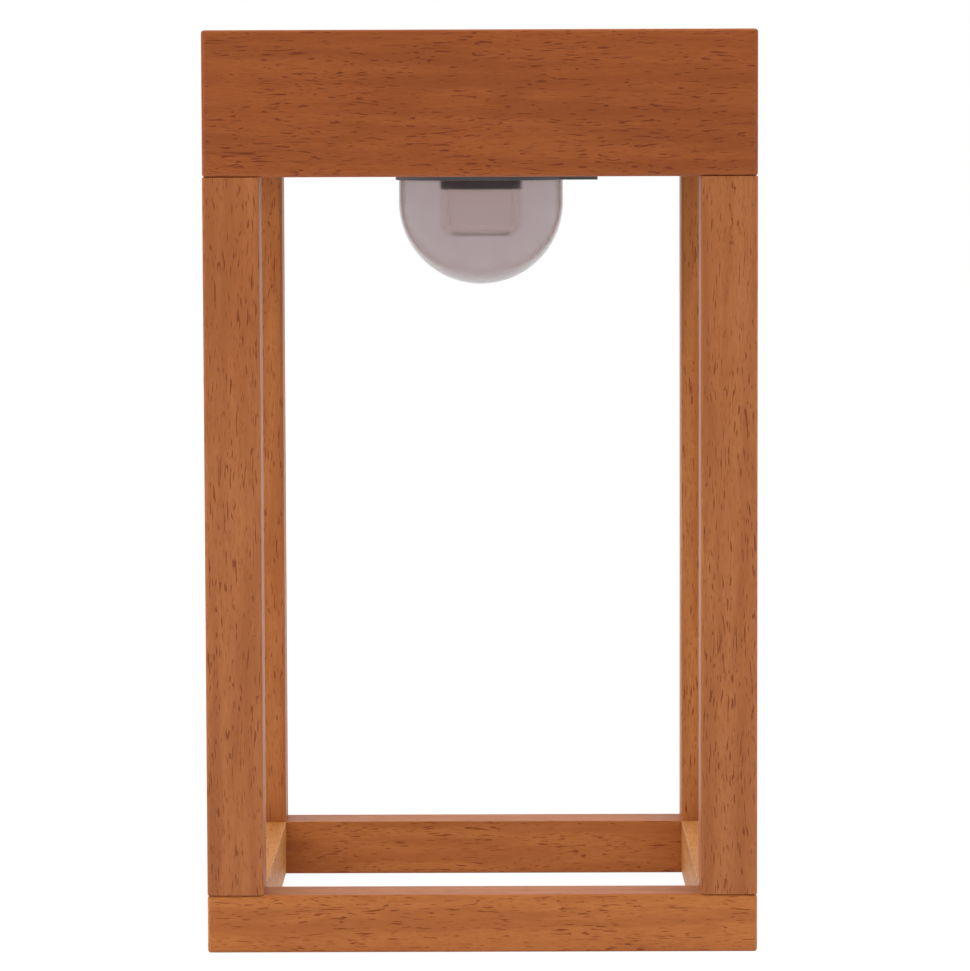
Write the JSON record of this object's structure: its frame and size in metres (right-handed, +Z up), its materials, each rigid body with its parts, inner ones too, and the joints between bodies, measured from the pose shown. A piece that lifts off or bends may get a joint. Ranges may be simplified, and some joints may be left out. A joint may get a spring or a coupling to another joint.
{
  "type": "solar lantern",
  "caption": "Square wooden table lantern, open on all sides, with a lift-out solar lamp unit in its top box and a domed lamp hanging below.",
  "frame": {"origin": "centre of the lantern's footprint, on the surface that it stands on", "axes": "+Z up, front towards -Y, +X to the right as the front is looked at"},
  "size_m": [0.18, 0.18, 0.301],
  "materials": {
    "beech_post": "oiled",
    "beech_board": "oiled",
    "beech_rail": "oiled",
    "dowel_beech": "bare",
    "dark_abs": "fine texture",
    "panel_glass": "tempered, clear",
    "silicon_cell": "coated",
    "tinned_ribbon": "tinned",
    "back_board": "laminated",
    "black_rubber": "matte",
    "black_foam": "foamed",
    "black_nylon": "moulded",
    "zinc_steel": "zinc plated",
    "nickel_strip": "nickel plated",
    "smoky_polycarbonate": "clear, smoke tinted",
    "frosted_polycarbonate": "frosted",
    "white_circuit_board": "solder mask",
    "led_phosphor": "cast silicone",
    "cell_sleeve": "shrink sleeve",
    "green_circuit_board": "solder mask",
    "component_black": "moulded",
    "connector_nylon": "moulded",
    "wire_pvc": "extruded",
    "button_rubber": "matte",
    "plunger_plastic": "moulded"
  },
  "bodies": {
    "frame": {"base_front_rail": "beech_rail", "base_right_rail": "beech_rail", "base_rear_rail": "beech_rail", "base_left_rail": "beech_rail", "post_front_left": "beech_post", "post_front_right": "beech_post", "post_rear_left": "beech_post", "post_rear_right": "beech_post", "top_front_board": "beech_board", "top_right_board": "beech_board", "top_rear_board": "beech_board", "top_left_board": "beech_board", "base_dowels": "dowel_beech", "top_dowels": "dowel_beech"},
    "lamp_unit": {"panel_bezel": "dark_abs", "solar_glass": "panel_glass", "solar_cells": "silicon_cell", "cell_ribbons": "tinned_ribbon", "panel_backsheet": "back_board", "panel_gasket": "black_rubber", "junction_box": "black_nylon", "module_housing": "dark_abs", "housing_gasket": "black_rubber", "housing_screws": "zinc_steel", "dome_diffuser": "smoky_polycarbonate", "dome_seal": "black_rubber", "led_carrier": "dark_abs", "carrier_screws": "zinc_steel", "led_board": "white_circuit_board", "leds": "led_phosphor", "inner_diffuser": "frosted_polycarbonate", "battery_cell": "cell_sleeve", "battery_holder": "black_nylon", "contact_plate": "nickel_strip", "contact_spring": "nickel_strip", "battery_door": "dark_abs", "door_gasket": "black_rubber", "door_screws": "zinc_steel", "battery_pad": "black_foam", "control_board": "green_circuit_board", "board_components": "component_black", "board_connectors": "connector_nylon", "board_screws": "zinc_steel", "switch_board": "green_circuit_board", "push_switch": "black_nylon", "switch_screws": "zinc_steel", "panel_leads": "wire_pvc", "battery_leads": "wire_pvc", "led_leads": "wire_pvc", "switch_leads": "wire_pvc"},
    "button": {"mode_button": "button_rubber", "switch_plunger": "plunger_plastic"}
  },
  "joints": [
    {"name": "unit_lift", "type": "slide", "parent": "frame", "child": "lamp_unit", "axis": [0, 0, 1], "range_m": [0, 0.085]},
    {"name": "button_press", "type": "slide", "parent": "lamp_unit", "child": "button", "axis": [0, 0, 1], "range_m": [0, 0.0008], "stiffness_N_per_m": 1500}
  ]
}
